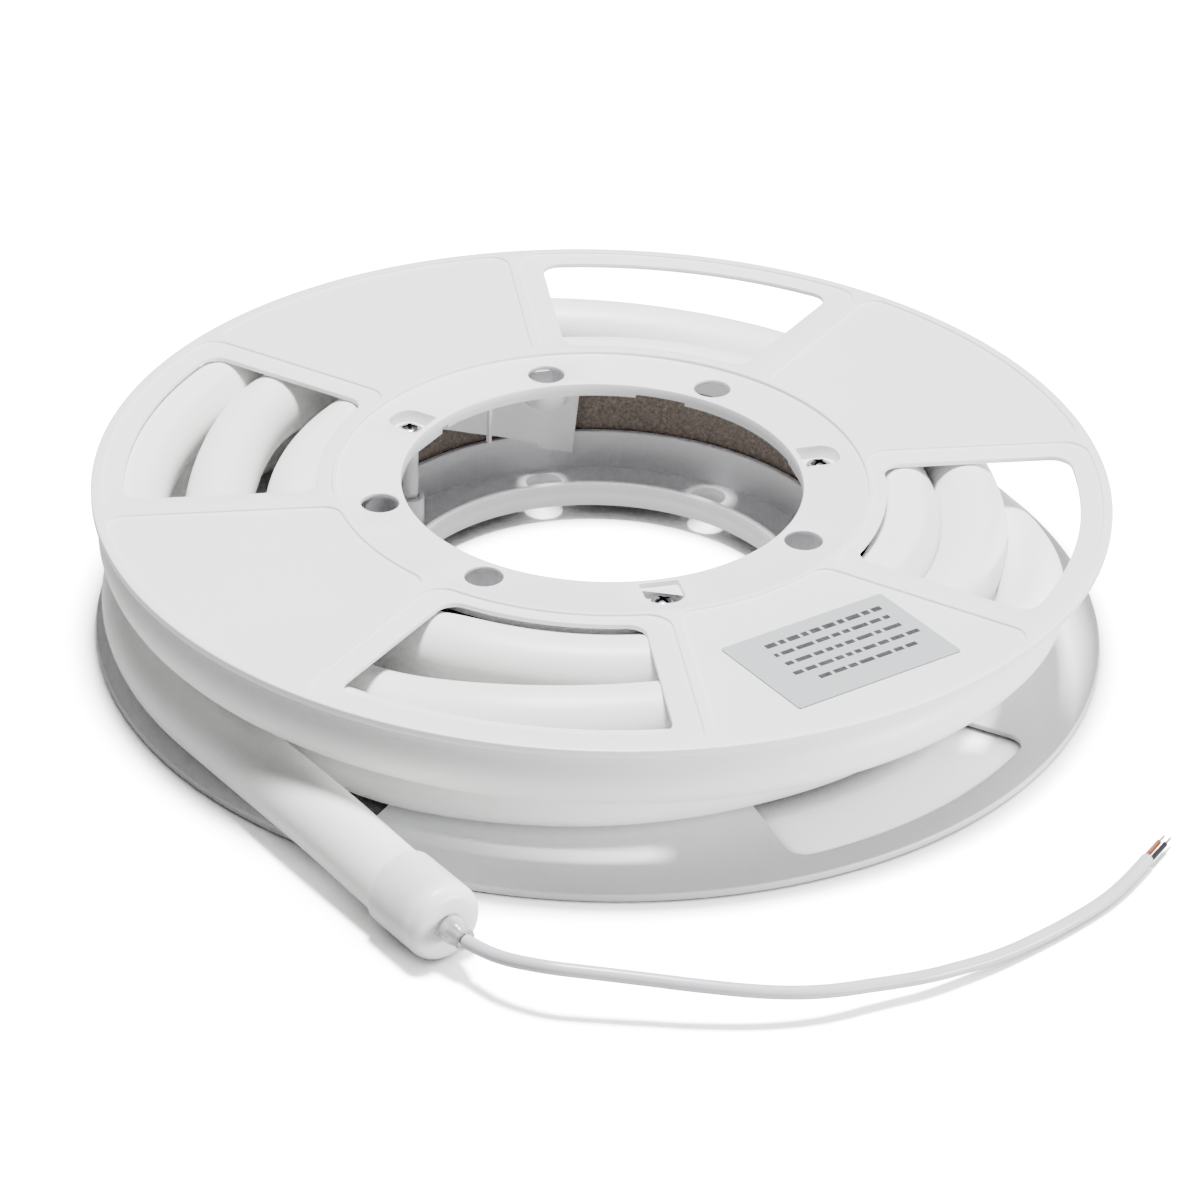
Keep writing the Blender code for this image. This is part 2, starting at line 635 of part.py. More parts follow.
def build():
    clear_scene()
    white = material("reel_white", (0.86, 0.86, 0.87), 0.45)
    silicone = material("silicone_white", (0.88, 0.88, 0.86), 0.4)
    card = material("cardboard", (0.22, 0.17, 0.14), 0.9)
    frosted = material("frosted_silicone", (0.85, 0.86, 0.84), 0.3, alpha=0.9)
    clear = material("clear_plastic", (0.9, 0.92, 0.93), 0.15, alpha=0.4)
    steel = material("plated_steel", (0.75, 0.75, 0.76), 0.25, metallic=1.0)
    jacket = material("lead_white", (0.85, 0.85, 0.88), 0.35)
    lower_flange(white)
    upper_flange(white)
    core_tube(card)
    neon_flex(silicone)
    end_cap(frosted)
    boot(clear)
    screws(steel)
    label(material("label_silver", (0.56, 0.6, 0.62), 0.4))
    lead(jacket)
    lead_cores(material("core_brown", (0.3, 0.09, 0.05), 0.4), material("core_black", (0.02, 0.02, 0.02), 0.4))


build()
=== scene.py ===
"""White plastic reel wound with round LED neon flex, with its capped free end and short lead.

The reel's shapes are given in millimetres from the reel's axis and the floor, and angles in degrees.
They are scaled to metres and moved to the axis when a piece is linked.
"""

import math
import random

import bmesh
import bpy
from mathutils import Matrix, Vector


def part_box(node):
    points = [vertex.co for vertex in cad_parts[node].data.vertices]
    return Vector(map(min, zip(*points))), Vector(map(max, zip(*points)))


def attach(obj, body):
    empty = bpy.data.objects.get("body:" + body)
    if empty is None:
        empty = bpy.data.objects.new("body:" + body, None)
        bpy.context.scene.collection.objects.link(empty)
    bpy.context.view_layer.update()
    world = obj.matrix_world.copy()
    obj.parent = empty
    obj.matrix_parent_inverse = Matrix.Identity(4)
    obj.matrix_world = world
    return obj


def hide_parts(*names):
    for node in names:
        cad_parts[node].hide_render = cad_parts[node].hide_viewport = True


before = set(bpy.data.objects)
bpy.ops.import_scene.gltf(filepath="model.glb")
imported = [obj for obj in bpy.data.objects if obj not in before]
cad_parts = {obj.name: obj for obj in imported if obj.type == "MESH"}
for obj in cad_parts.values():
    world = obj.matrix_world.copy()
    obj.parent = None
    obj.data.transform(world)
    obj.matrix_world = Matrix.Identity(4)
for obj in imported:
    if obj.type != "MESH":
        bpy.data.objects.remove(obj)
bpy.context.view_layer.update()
random.seed(7)

MM = 0.001
flange_low, flange_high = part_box("upper_flange")
AXIS = Vector(((flange_low.x + flange_high.x) / 2, (flange_low.y + flange_high.y) / 2, 0))

# Reel
H = 61.0
R = 187.5
RIM = 3.5
PLATE = 3.0
RECESS = 1.0
RING_OUT = 98.0
LIP_OUT = 99.6
BORE = 74.2
RING_TOP = H - 1.6
RING_UNDER = H - 3.6
SKIRT_OUT = BORE + 2.0
SKIRT_LIP = RING_TOP - 3.6
SKIRT_END = RING_TOP - 3.8
TEETH_END = RING_TOP - 5.1
SKIRT_NOTCHES = ((18.7, 30), (76.3, 91.6), (153, 165), (288.3, 300))
SPIGOT_OUT = 95.7
SPIGOT_IN = 93.5
SPIGOT_DEPTH = 11.0
CUFF_IN = 98.8
CUFF_OUT = 100.0
CUFF_END = 52.5
LOWER_RING_TOP = 12.0
LOWER_RING_UNDER = 8.5
LOWER_SPIGOT_TOP = 28.0
WINDOW_IN = 104.8
WINDOW_OUT = 175.8
WINDOW_HALF = 19.5
WINDOW_CORNER = 7.0
BAND = 9.6
SOLID_HALF = 25.5
SOLID_SIDE = -13.1
UPPER_TURN = 0.0
LOWER_TURN = 53.5
HOLES = (116.4, 71.4, 341.4, 251.4, 206.4)
SCREWS = (161.4, 26.4, 296.4)
PLACES = 83.85
HOLE = 7.0
POCKET_FLOOR = RING_TOP - 5.0
POCKET = (14.5, BORE + 2.2, 91.2, 6.0)  # width, inner and outer reach, corner radius
POCKET_WALL = 1.8
POCKET_BACK = POCKET_FLOOR - 2
BOSS_OUT = 3.3
SCREW_HOLE = 2.1
POST_OUT = 5.6
POST_IN = 3.6
WEB_IN = 89.3
WEB_TOP = 26.3
SOCKET_TOP = 27.0
SOCKET_FLOOR = 24.3
BOSS_END = SOCKET_FLOOR + 0.3
SCREW_END = SOCKET_FLOOR - 9.8
TUBE_IN = 96.0
TUBE_OUT = 98.5
TUBE_LOW = 3.3
ROUND = 288
SMALL_ROUND = 40
PIN_ROUND = 32
SHARP_ANGLE = 35

# Flex
FLEX = 12.5
LOW = 15.8
HIGH = 45.2
TAIL_FROM = 228.15
TAIL_LEN = 122.0
CAP_R = 14.0
CAP_LEN = 28.0


def polar(radius, degrees, z=0.0):
    angle = math.radians(degrees)
    return Vector((radius * math.cos(angle), radius * math.sin(angle), z))


OUTER_TURN_R = R - 1.7 - FLEX
TAIL_DIR = polar(1.0, TAIL_FROM + 90)
TAIL_START = polar(OUTER_TURN_R, TAIL_FROM, LOW)
CAP_BACK = TAIL_START + TAIL_DIR * TAIL_LEN
CAP_BACK.z = CAP_R
CAP_FRONT = CAP_BACK + TAIL_DIR * CAP_LEN


# ---- camera ----

CAMERA_TURN = 10.65
CAMERA_ELEVATION = 31.0616
CAMERA_YAW = -0.0148
CAMERA_PITCH = 0.2164
CAMERA_ROLL = -1.6883
CAMERA_LENS = 131.62
CAMERA_AWAY = 1.6475


def make_camera():
    """Camera at the photograph's fitted place, in the reel's own frame."""
    turn = Matrix.Rotation(math.radians(CAMERA_TURN), 3, "Z")
    elevation = math.radians(CAMERA_ELEVATION)
    forward = turn @ Vector((0, math.cos(elevation), -math.sin(elevation)))
    right = turn @ Vector((1, 0, 0))
    up = right.cross(forward)
    yaw = Matrix.Rotation(math.radians(CAMERA_YAW), 3, up)
    forward, right = yaw @ forward, yaw @ right
    pitch = Matrix.Rotation(math.radians(CAMERA_PITCH), 3, right)
    forward, up = pitch @ forward, pitch @ up
    roll = Matrix.Rotation(math.radians(CAMERA_ROLL), 3, forward)
    right, up = roll @ right, roll @ up
    data = bpy.data.cameras.new("camera")
    data.lens = CAMERA_LENS
    data.sensor_width = 36
    data.clip_end = 30
    camera = bpy.data.objects.new("camera", data)
    rotation = Matrix((right, up, -forward)).transposed().to_4x4()
    away = turn @ Vector((0, -math.cos(elevation), math.sin(elevation)))
    camera.matrix_world = Matrix.Translation(AXIS + away * CAMERA_AWAY) @ rotation
    bpy.context.scene.collection.objects.link(camera)
    bpy.context.scene.camera = camera


make_camera()


# ---- materials ----

class Nodes:
    """A few short helpers round one material's node tree."""

    def __init__(self, name, colour, roughness, **inputs):
        self.mat = bpy.data.materials.new(name)
        self.mat.use_nodes = True
        self.tree = self.mat.node_tree
        self.shader = self.tree.nodes["Principled BSDF"]
        self.shader.inputs["Base Color"].default_value = (*colour, 1)
        self.shader.inputs["Roughness"].default_value = roughness
        for key, value in inputs.items():
            self.shader.inputs[key.replace("_", " ")].default_value = value
        self.coords = self.tree.nodes.new("ShaderNodeTexCoord").outputs["Object"]

    def noise(self, scale, detail=3.0, rough=0.55):
        node = self.tree.nodes.new("ShaderNodeTexNoise")
        node.inputs["Scale"].default_value = scale
        node.inputs["Detail"].default_value = detail
        node.inputs["Roughness"].default_value = rough
        self.tree.links.new(self.coords, node.inputs["Vector"])
        return node.outputs["Fac"]

    def ramp(self, value, stops):
        node = self.tree.nodes.new("ShaderNodeValToRGB")
        ramp = node.color_ramp
        while len(ramp.elements) < len(stops):
            ramp.elements.new(0.5)
        for element, (at, colour) in zip(ramp.elements, stops):
            element.position = at
            element.color = (*colour, 1)
        self.tree.links.new(value, node.inputs["Fac"])
        return node.outputs["Color"]

    def spread(self, value, low, high):
        node = self.tree.nodes.new("ShaderNodeMapRange")
        node.inputs["To Min"].default_value = low
        node.inputs["To Max"].default_value = high
        self.tree.links.new(value, node.inputs["Value"])
        return node.outputs["Result"]

    def link(self, value, socket):
        self.tree.links.new(value, self.shader.inputs[socket])

    def bump(self, value, strength, distance):
        node = self.tree.nodes.new("ShaderNodeBump")
        node.inputs["Strength"].default_value = strength
        node.inputs["Distance"].default_value = distance
        self.tree.links.new(value, node.inputs["Height"])
        self.tree.links.new(node.outputs["Normal"], self.shader.inputs["Normal"])


def reel_plastic():
    """White polystyrene with a faint flow unevenness and a slightly varied gloss."""
    n = Nodes("reel_plastic", (0.8, 0.8, 0.82), 0.35, Subsurface_Weight=0.05, Subsurface_Scale=0.004)
    n.shader.inputs["Subsurface Radius"].default_value = (1, 0.95, 0.9)
    n.link(n.ramp(n.noise(14, 2), [(0.3, (0.79, 0.79, 0.81)), (0.7, (0.82, 0.82, 0.835))]), "Base Color")
    n.link(n.spread(n.noise(60, 4), 0.28, 0.42), "Roughness")
    n.bump(n.noise(380, 2), 0.12, 0.0003)
    return n.mat


def silicone():
    """Milky extruded silicone: soft light bleeding under a satin skin."""
    n = Nodes("silicone", (0.86, 0.86, 0.85), 0.42, Subsurface_Weight=0.3, Subsurface_Scale=0.006)
    n.shader.inputs["Subsurface Radius"].default_value = (1, 0.97, 0.92)
    n.link(n.ramp(n.noise(9, 2), [(0.3, (0.85, 0.855, 0.84)), (0.7, (0.88, 0.88, 0.87))]), "Base Color")
    n.link(n.spread(n.noise(45, 4), 0.36, 0.5), "Roughness")
    n.bump(n.noise(240, 3), 0.15, 0.0003)
    return n.mat


def cardboard():
    """Grey-brown recycled board, mottled with fibres."""
    n = Nodes("cardboard", (0.2, 0.16, 0.135), 0.9)
    fibres = n.noise(900, 6, 0.7)
    shades = [(0.3, (0.1, 0.08, 0.068)), (0.5, (0.19, 0.155, 0.13)), (0.72, (0.34, 0.29, 0.25))]
    n.link(n.ramp(fibres, shades), "Base Color")
    n.bump(n.noise(1400, 4), 0.5, 0.0004)
    return n.mat


def frosted_silicone():
    """Thin moulded silicone cup, a little clearer than the flex inside it."""
    n = Nodes("frosted_silicone", (0.86, 0.86, 0.85), 0.36, Subsurface_Weight=0.5, Subsurface_Scale=0.008)
    n.shader.inputs["Subsurface Radius"].default_value = (1, 0.97, 0.93)
    n.link(n.ramp(n.noise(60, 3), [(0.3, (0.84, 0.84, 0.825)), (0.7, (0.88, 0.88, 0.87))]), "Base Color")
    n.link(n.spread(n.noise(90, 3), 0.28, 0.46), "Roughness")
    n.bump(n.noise(160, 3), 0.3, 0.0006)
    return n.mat


def clear_sleeve():
    """Clear shrunk sleeve with slight waves."""
    n = Nodes("clear_sleeve", (0.93, 0.94, 0.95), 0.12, Transmission_Weight=0.75, IOR=1.45)
    n.bump(n.noise(220, 3), 0.4, 0.0005)
    n.link(n.spread(n.noise(300, 2), 0.08, 0.22), "Roughness")
    return n.mat


def plated_steel(name, shade):
    n = Nodes(name, (shade, shade, shade * 1.02), 0.18, Metallic=1.0)
    n.link(n.spread(n.noise(1500, 3), 0.12, 0.3), "Roughness")
    n.bump(n.noise(2600, 2), 0.2, 0.0001)
    return n.mat


def lead_sheath():
    n = Nodes("lead_sheath", (0.56, 0.56, 0.59), 0.28)
    n.link(n.ramp(n.noise(40, 2), [(0.3, (0.54, 0.54, 0.575)), (0.7, (0.58, 0.58, 0.61))]), "Base Color")
    n.link(n.spread(n.noise(180, 3), 0.22, 0.36), "Roughness")
    n.bump(n.noise(600, 2), 0.12, 0.0002)
    return n.mat


def insulation(name, colour):
    n = Nodes(name, colour, 0.35)
    dark = tuple(c * 0.8 for c in colour)
    n.link(n.ramp(n.noise(900, 2), [(0.3, dark), (0.7, colour)]), "Base Color")
    n.link(n.spread(n.noise(1200, 2), 0.28, 0.45), "Roughness")
    return n.mat


def tinned_wire():
    n = Nodes("tinned_wire", (0.62, 0.6, 0.57), 0.3, Metallic=1.0)
    n.link(n.spread(n.noise(2500, 3), 0.2, 0.45), "Roughness")
    return n.mat


def label_film():
    """Silver-grey printed film with a faint blue shade across it."""
    n = Nodes("label_film", (0.37, 0.4, 0.41), 0.4)
    n.link(n.ramp(n.noise(11, 1), [(0.35, (0.35, 0.385, 0.4)), (0.65, (0.39, 0.415, 0.425))]), "Base Color")
    n.link(n.spread(n.noise(500, 2), 0.34, 0.46), "Roughness")
    n.bump(n.noise(120, 2), 0.1, 0.0003)
    return n.mat


def label_print():
    n = Nodes("label_print", (0.03, 0.03, 0.035), 0.5)
    n.link(n.ramp(n.noise(700, 2), [(0.3, (0.02, 0.02, 0.025)), (0.7, (0.05, 0.05, 0.055))]), "Base Color")
    return n.mat


WHITE = reel_plastic()
SILICONE = silicone()


# ---- mesh helpers ----

def link_mesh(name, bm, mat, replaced=()):
    """Put a mesh built in millimetres from the reel's axis into the scene as one riding piece."""
    bmesh.ops.remove_doubles(bm, verts=bm.verts, dist=0.0005)
    bmesh.ops.transform(bm, matrix=Matrix.Scale(MM, 4), verts=bm.verts)
    bmesh.ops.recalc_face_normals(bm, faces=bm.faces)
    mesh = bpy.data.meshes.new(name)
    bm.to_mesh(mesh)
    bm.free()
    mesh.shade_smooth()
    mesh.set_sharp_from_angle(angle=math.radians(SHARP_ANGLE))
    mesh.materials.append(mat)
    piece = bpy.data.objects.new(name, mesh)
    piece.location = AXIS
    bpy.context.scene.collection.objects.link(piece)
    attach(piece, "root")
    if replaced:
        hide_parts(*replaced)
    return piece


def arc(cx, cy, radius, start, end, steps):
    points = []
    for i in range(steps + 1):
        t = math.radians(start + (end - start) * i / steps)
        points.append((cx + radius * math.cos(t), cy + radius * math.sin(t)))
    return points


def circle(radius, cx=0.0, cy=0.0, steps=ROUND):
    return arc(cx, cy, radius, 0, 360, steps)[:-1]


def sector(r_in, r_out, mid, half, side, corner, grow=0.0, steps=28):
    """Ring sector with rounded corners. Its straight sides lie side outside the radial lines at half.
    A larger grow gives the same outline moved outwards, point for point."""
    r_in, r_out, side, corner = r_in - grow, r_out + grow, side + grow, corner + grow
    at_out = half + math.degrees(math.asin((side - corner) / (r_out - corner)))
    at_in = half + math.degrees(math.asin((side - corner) / (r_in + corner)))
    points = []
    c = polar(r_out - corner, mid - at_out)
    points += arc(c.x, c.y, corner, mid - half - 90, mid - at_out, 7)
    points += arc(0, 0, r_out, mid - at_out, mid + at_out, steps)[1:-1]
    c = polar(r_out - corner, mid + at_out)
    points += arc(c.x, c.y, corner, mid + at_out, mid + half + 90, 7)
    c = polar(r_in + corner, mid + at_in)
    points += arc(c.x, c.y, corner, mid + half + 90, mid + at_in + 180, 7)
    points += arc(0, 0, r_in, mid + at_in, mid - at_in, steps)[1:-1]
    c = polar(r_in + corner, mid - at_in)
    points += arc(c.x, c.y, corner, mid - at_in + 180, mid - half + 270, 7)
    return points


def pocket(angle, width, r_in, r_out, corner, grow=0.0):
    """Screw pocket: straight across near the bore and rounded at its outer end."""
    half = width / 2 + grow
    big = corner + grow
    points = []
    for u, v, radius, start in ((r_in - grow, half, 1.0, 90), (r_in - grow, -half, 1.0, 180),
                                (r_out + grow, -half, big, 270), (r_out + grow, half, big, 0)):
        cu = u + radius if start in (90, 180) else u - radius
        cv = v - radius if v > 0 else v + radius
        points += arc(cu, cv, radius, start, start + 90, 6)
    return [tuple((polar(u, angle) + polar(v, angle + 90)).xy) for u, v in points]


def loop(bm, points, z):
    return [bm.verts.new((x, y, z)) for x, y in points]


def wall(bm, *loops):
    for low, high in zip(loops, loops[1:]):
        for i in range(len(low)):
            j = (i + 1) % len(low)
            bm.faces.new((low[i], low[j], high[j], high[i]))


def fill(bm, *loops):
    """Flat face inside the first loop and outside the others."""
    edges = set()
    for ring in loops:
        for i, vert in enumerate(ring):
            other = ring[(i + 1) % len(ring)]
            edges.add(bm.edges.get((vert, other)) or bm.edges.new((vert, other)))
    bmesh.ops.triangle_fill(bm, use_beauty=True, use_dissolve=False, edges=list(edges), normal=(0, 0, 1))


def turned(bm, profile, steps=ROUND, matrix=Matrix()):
    """Turn an open profile of (radius, height) about Z and return its first and last rings."""
    rings = []
    for radius, z in profile:
        count = steps if radius > 1e-6 else 1
        rings.append([bm.verts.new(matrix @ polar(radius, 360 * i / steps, z)) for i in range(count)])
    for low, high in zip(rings, rings[1:]):
        for i in range(steps):
            j = (i + 1) % steps
            corners = [low[i % len(low)], low[j % len(low)], high[j % len(high)], high[i % len(high)]]
            bm.faces.new(list(dict.fromkeys(corners)))
    return rings[0], rings[-1]


def tube(bm, points, radii, sides):
    """Round tube through a line of points with a radius at each, closed at both ends."""
    rings = []
    side = None
    for i, point in enumerate(points):
        ahead = (points[min(i + 1, len(points) - 1)] - points[max(i - 1, 0)]).normalized()
        if side is None:
            side = ahead.cross(Vector((0, 0, 1))).normalized()
        else:
            side = (side - ahead * side.dot(ahead)).normalized()
        up = side.cross(ahead)
        ring = []
        for k in range(sides):
            t = 2 * math.pi * k / sides
            ring.append(bm.verts.new(point + radii[i] * (side * math.cos(t) + up * math.sin(t))))
        rings.append(ring)
    wall(bm, *rings)
    bm.faces.new(rings[0])
    bm.faces.new(rings[-1])


# ---- flanges ----

def flange_face(bm, turn, top, out, rim, inner, hub):
    """Plate of a flange with its recessed panels and windows, from its outer face inwards.

    top is the outer face's height, out is 1 if it looks up and -1 if down. rim is the rim loop on the
    outer face, inner the rim loop on the inner face, hub the hub loops on the outer and inner faces."""
    holes = []
    windows = []
    for i in range(4):
        mid = turn + 90 * i
        around = (LIP_OUT, R - RIM, mid, WINDOW_HALF, BAND, 9.0)
        edge = loop(bm, sector(*around, 0.25), top)
        floor = loop(bm, sector(*around, -0.35), top - out * RECESS)
        wall(bm, edge, loop(bm, sector(*around), top - out * 0.25),
             loop(bm, sector(*around), top - out * (RECESS - 0.3)), floor)
        holes.append(edge)
        window = (WINDOW_IN, WINDOW_OUT, mid, WINDOW_HALF, 0.0, WINDOW_CORNER)
        start = loop(bm, sector(*window, 0.3), top - out * RECESS)
        end = loop(bm, sector(*window, 0.3), top - out * PLATE)
        wall(bm, start, loop(bm, sector(*window, 0.08), top - out * (RECESS + 0.08)),
             loop(bm, sector(*window), top - out * (RECESS + 0.3)),
             loop(bm, sector(*window), top - out * (PLATE - 0.3)), end)
        fill(bm, floor, start)
        windows.append(end)
        mid += 45
        closed = (LIP_OUT, R - RIM, mid, SOLID_HALF, SOLID_SIDE, 7.0)
        edge = loop(bm, sector(*closed, 0.25), top)
        floor = loop(bm, sector(*closed, -0.35), top - out * RECESS)
        wall(bm, edge, loop(bm, sector(*closed), top - out * 0.25),
             loop(bm, sector(*closed), top - out * (RECESS - 0.3)), floor)
        holes.append(edge)
        fill(bm, floor)
    fill(bm, rim, hub[0], *holes)
    fill(bm, inner, hub[1], *windows)


def rim_profile(top, out):
    """Rounded outer edge of a flange, from its outer face to its inner face."""
    low = 0.6
    profile = [(R - low, top)]
    for i in range(1, 5):
        t = math.radians(22.5 * i)
        profile.append((R - low + low * math.sin(t), top - out * low * (1 - math.cos(t))))
    profile += [(R, top - out * (PLATE - low))]
    for i in range(1, 5):
        t = math.radians(22.5 * i)
        profile.append((R - low + low * math.cos(t), top - out * (PLATE - low + low * math.sin(t))))
    return profile


def round_at(bm, angle, radius, z, steps=SMALL_ROUND):
    """Loop of a hole or a post at one of the places round the bore."""
    c = polar(PLACES, angle)
    return loop(bm, circle(radius, c.x, c.y, steps), z)


def hole_rim(bm, angle, top, under):
    """Walls of one drive hole, with small rounded lips; returns the loops on both faces."""
    first = round_at(bm, angle, HOLE + 0.4, top)
    last = round_at(bm, angle, HOLE + 0.2, under)
    wall(bm, first, round_at(bm, angle, HOLE + 0.12, top - 0.12), round_at(bm, angle, HOLE, top - 0.4),
         round_at(bm, angle, HOLE, under + 0.2), last)
    return first, last


def arc_bar(bm, r_in, r_out, start, end, low, high):
    """Bar bent round the reel's axis, square at both ends."""
    steps = max(2, round((end - start) / 1.25))
    section = ((r_in, high), (r_in, low), (r_out, low), (r_out, high))
    rows = []
    for i in range(steps + 1):
        at = start + (end - start) * i / steps
        rows.append([bm.verts.new(polar(r, at, z)) for r, z in section])
    for a, b in zip(rows, rows[1:]):
        for k in range(4):
            bm.faces.new((a[k], a[(k + 1) % 4], b[(k + 1) % 4], b[k]))
    bm.faces.new(rows[0][::-1])
    bm.faces.new(rows[-1])


def upper_flange():
    bm = bmesh.new()
    rim, inner = turned(bm, rim_profile(H, 1))
    lip_top, lip_foot = turned(bm, [
        (RING_OUT + 0.25, H), (RING_OUT, H - 0.25), (RING_OUT, RING_TOP + 0.2), (RING_OUT - 0.3, RING_TOP)])
    depth = H - SPIGOT_DEPTH
    spigot_foot, ring_out = turned(bm, [
        (SPIGOT_OUT, H - PLATE), (SPIGOT_OUT, depth + 0.2), (SPIGOT_OUT - 0.2, depth), (SPIGOT_IN + 0.2, depth),
        (SPIGOT_IN, depth + 0.2), (SPIGOT_IN, RING_UNDER)])
    flange_face(bm, UPPER_TURN, H, 1, rim, inner, (lip_top, spigot_foot))
    bore_top, skirt_in = turned(bm, [
        (BORE + 0.5, RING_TOP), (BORE + 0.15, RING_TOP - 0.15), (BORE, RING_TOP - 0.5), (BORE, SKIRT_LIP)])
    low_edge = loop(bm, circle(BORE), SKIRT_END)
    low_back = loop(bm, circle(SKIRT_OUT), SKIRT_END)
    skirt_back, _ = turned(bm, [(SKIRT_OUT, RING_UNDER)])
    wall(bm, skirt_in, low_edge, low_back, skirt_back)
    next_notches = SKIRT_NOTCHES[1:] + ((SKIRT_NOTCHES[0][0] + 360, 0),)
    for (_, start), (end, _) in zip(SKIRT_NOTCHES, next_notches):
        arc_bar(bm, BORE, SKIRT_OUT, start, end, TEETH_END, SKIRT_END)
    top_holes, under_holes = [], []
    for angle in HOLES:
        first, last = hole_rim(bm, angle, RING_TOP, RING_UNDER)
        top_holes.append(first)
        under_holes.append(last)
    for angle in SCREWS:
        first = loop(bm, pocket(angle, *POCKET, 0.3), RING_TOP)
        floor = loop(bm, pocket(angle, *POCKET, -0.3), POCKET_FLOOR)
        wall(bm, first, loop(bm, pocket(angle, *POCKET, 0.08), RING_TOP - 0.1),
             loop(bm, pocket(angle, *POCKET), RING_TOP - 0.35),
             loop(bm, pocket(angle, *POCKET, -0.15), POCKET_FLOOR + 0.2), floor)
        mouth = round_at(bm, angle, SCREW_HOLE, POCKET_FLOOR, PIN_ROUND)
        fill(bm, floor, mouth)
        under = loop(bm, pocket(angle, *POCKET, POCKET_WALL), RING_UNDER)
        below = loop(bm, pocket(angle, *POCKET, POCKET_WALL), POCKET_BACK)
        wall(bm, under, below)
        root = round_at(bm, angle, BOSS_OUT + 0.3, POCKET_BACK, PIN_ROUND)
        foot = round_at(bm, angle, BOSS_OUT - 0.2, BOSS_END, PIN_ROUND)
        wall(bm, root, round_at(bm, angle, BOSS_OUT, POCKET_BACK - 0.4, PIN_ROUND),
             round_at(bm, angle, BOSS_OUT, BOSS_END + 0.2, PIN_ROUND), foot,
             round_at(bm, angle, SCREW_HOLE, BOSS_END, PIN_ROUND), mouth)
        fill(bm, below, root)
        top_holes.append(first)
        under_holes.append(under)
    fill(bm, lip_foot, bore_top, *top_holes)
    fill(bm, ring_out, skirt_back, *under_holes)
    for angle in SCREWS:
        guide_wall(bm, angle)
    root = H - PLATE + 0.1
    turned(bm, [
        (CUFF_IN, root), (CUFF_IN, CUFF_END + 0.2), (CUFF_IN + 0.2, CUFF_END), (CUFF_OUT - 0.2, CUFF_END),
        (CUFF_OUT, CUFF_END + 0.2), (CUFF_OUT, root), (CUFF_IN, root)])
    link_mesh("upper_flange_moulding", bm, WHITE, ["upper_flange"])


# Lower edge of a guide wall: degrees clockwise from its screw, drop below the ring
GUIDE_EDGE = ((8, 9), (18, 15.5), (26, 21.1), (42, 30.5), (44.3, 31.7), (44.5, 33.6), (53.2, 36.7))
GUIDE_OUT = SPIGOT_IN - 1.7
GUIDE_IN = SPIGOT_IN - 3.5
GUIDE_LEAN = 2.0
EYE_IN = HOLE + 0.3
EYE_OUT = HOLE + 1.4
EYE_END = RING_UNDER - 9
RIB = ((76.1, 0.6), (76.1, -0.6), (78.0, -0.6), (78.0, 0.6))
RIB_END = RING_UNDER - 18.8


def guide_drop(at):
    """How far a guide wall's lower edge lies below the ring, at degrees clockwise from its screw."""
    for (a, low), (b, high) in zip(GUIDE_EDGE, GUIDE_EDGE[1:]):
        if at <= b:
            return low + (high - low) * (at - a) / (b - a)
    return GUIDE_EDGE[-1][1]


def guide_wall(bm, angle):
    """Curved wall that hangs from the ring beside a screw, with a slanted lower edge, a socket and a rib."""
    sections = []
    top = RING_UNDER + 0.1
    rows = [8 + 1.5 * i for i in range(25)] + [44.3, 44.5, 46, 48, 50, 51.5, 53]
    for at in rows:
        low = RING_UNDER - guide_drop(at)
        foot = angle - at
        head = foot - (GUIDE_LEAN if at == rows[-1] else 0.0)
        corners = ((GUIDE_IN, head, top), (GUIDE_IN, foot, low), (GUIDE_OUT, foot, low), (GUIDE_OUT, head, top))
        sections.append([bm.verts.new(polar(*corner)) for corner in corners])
    wall(bm, *sections)
    bm.faces.new(sections[0])
    bm.faces.new(sections[-1])
    c = polar(PLACES, angle - 45)
    turned(bm, [(EYE_IN, top), (EYE_IN, EYE_END), (EYE_OUT, EYE_END), (EYE_OUT, top)], SMALL_ROUND,
           Matrix.Translation(c))
    along, across = polar(1, angle - 26), polar(1, angle + 64)
    plan = [along * u + across * v for u, v in RIB]
    tops = [bm.verts.new((v.x, v.y, top)) for v in plan]
    lows = [bm.verts.new((v.x, v.y, RIB_END)) for v in plan]
    wall(bm, tops, lows)
    bm.faces.new(lows)
    bm.faces.new(tops)


# Collar round the lower bore: radius, height
COLLAR = (
    (77.1, 12.0), (76.8, 12.3), (76.8, 15.0), (76.65, 15.35), (76.3, 15.5), (74.7, 15.5), (74.35, 15.35),
    (74.2, 15.0), (74.2, 9.95), (74.3, 9.8), (74.9, 9.8), (75.0, 9.65), (75.0, 5.7), (75.3, 5.4), (76.5, 5.4),
    (76.8, 5.7), (76.8, 8.3), (77.0, 8.5),
)


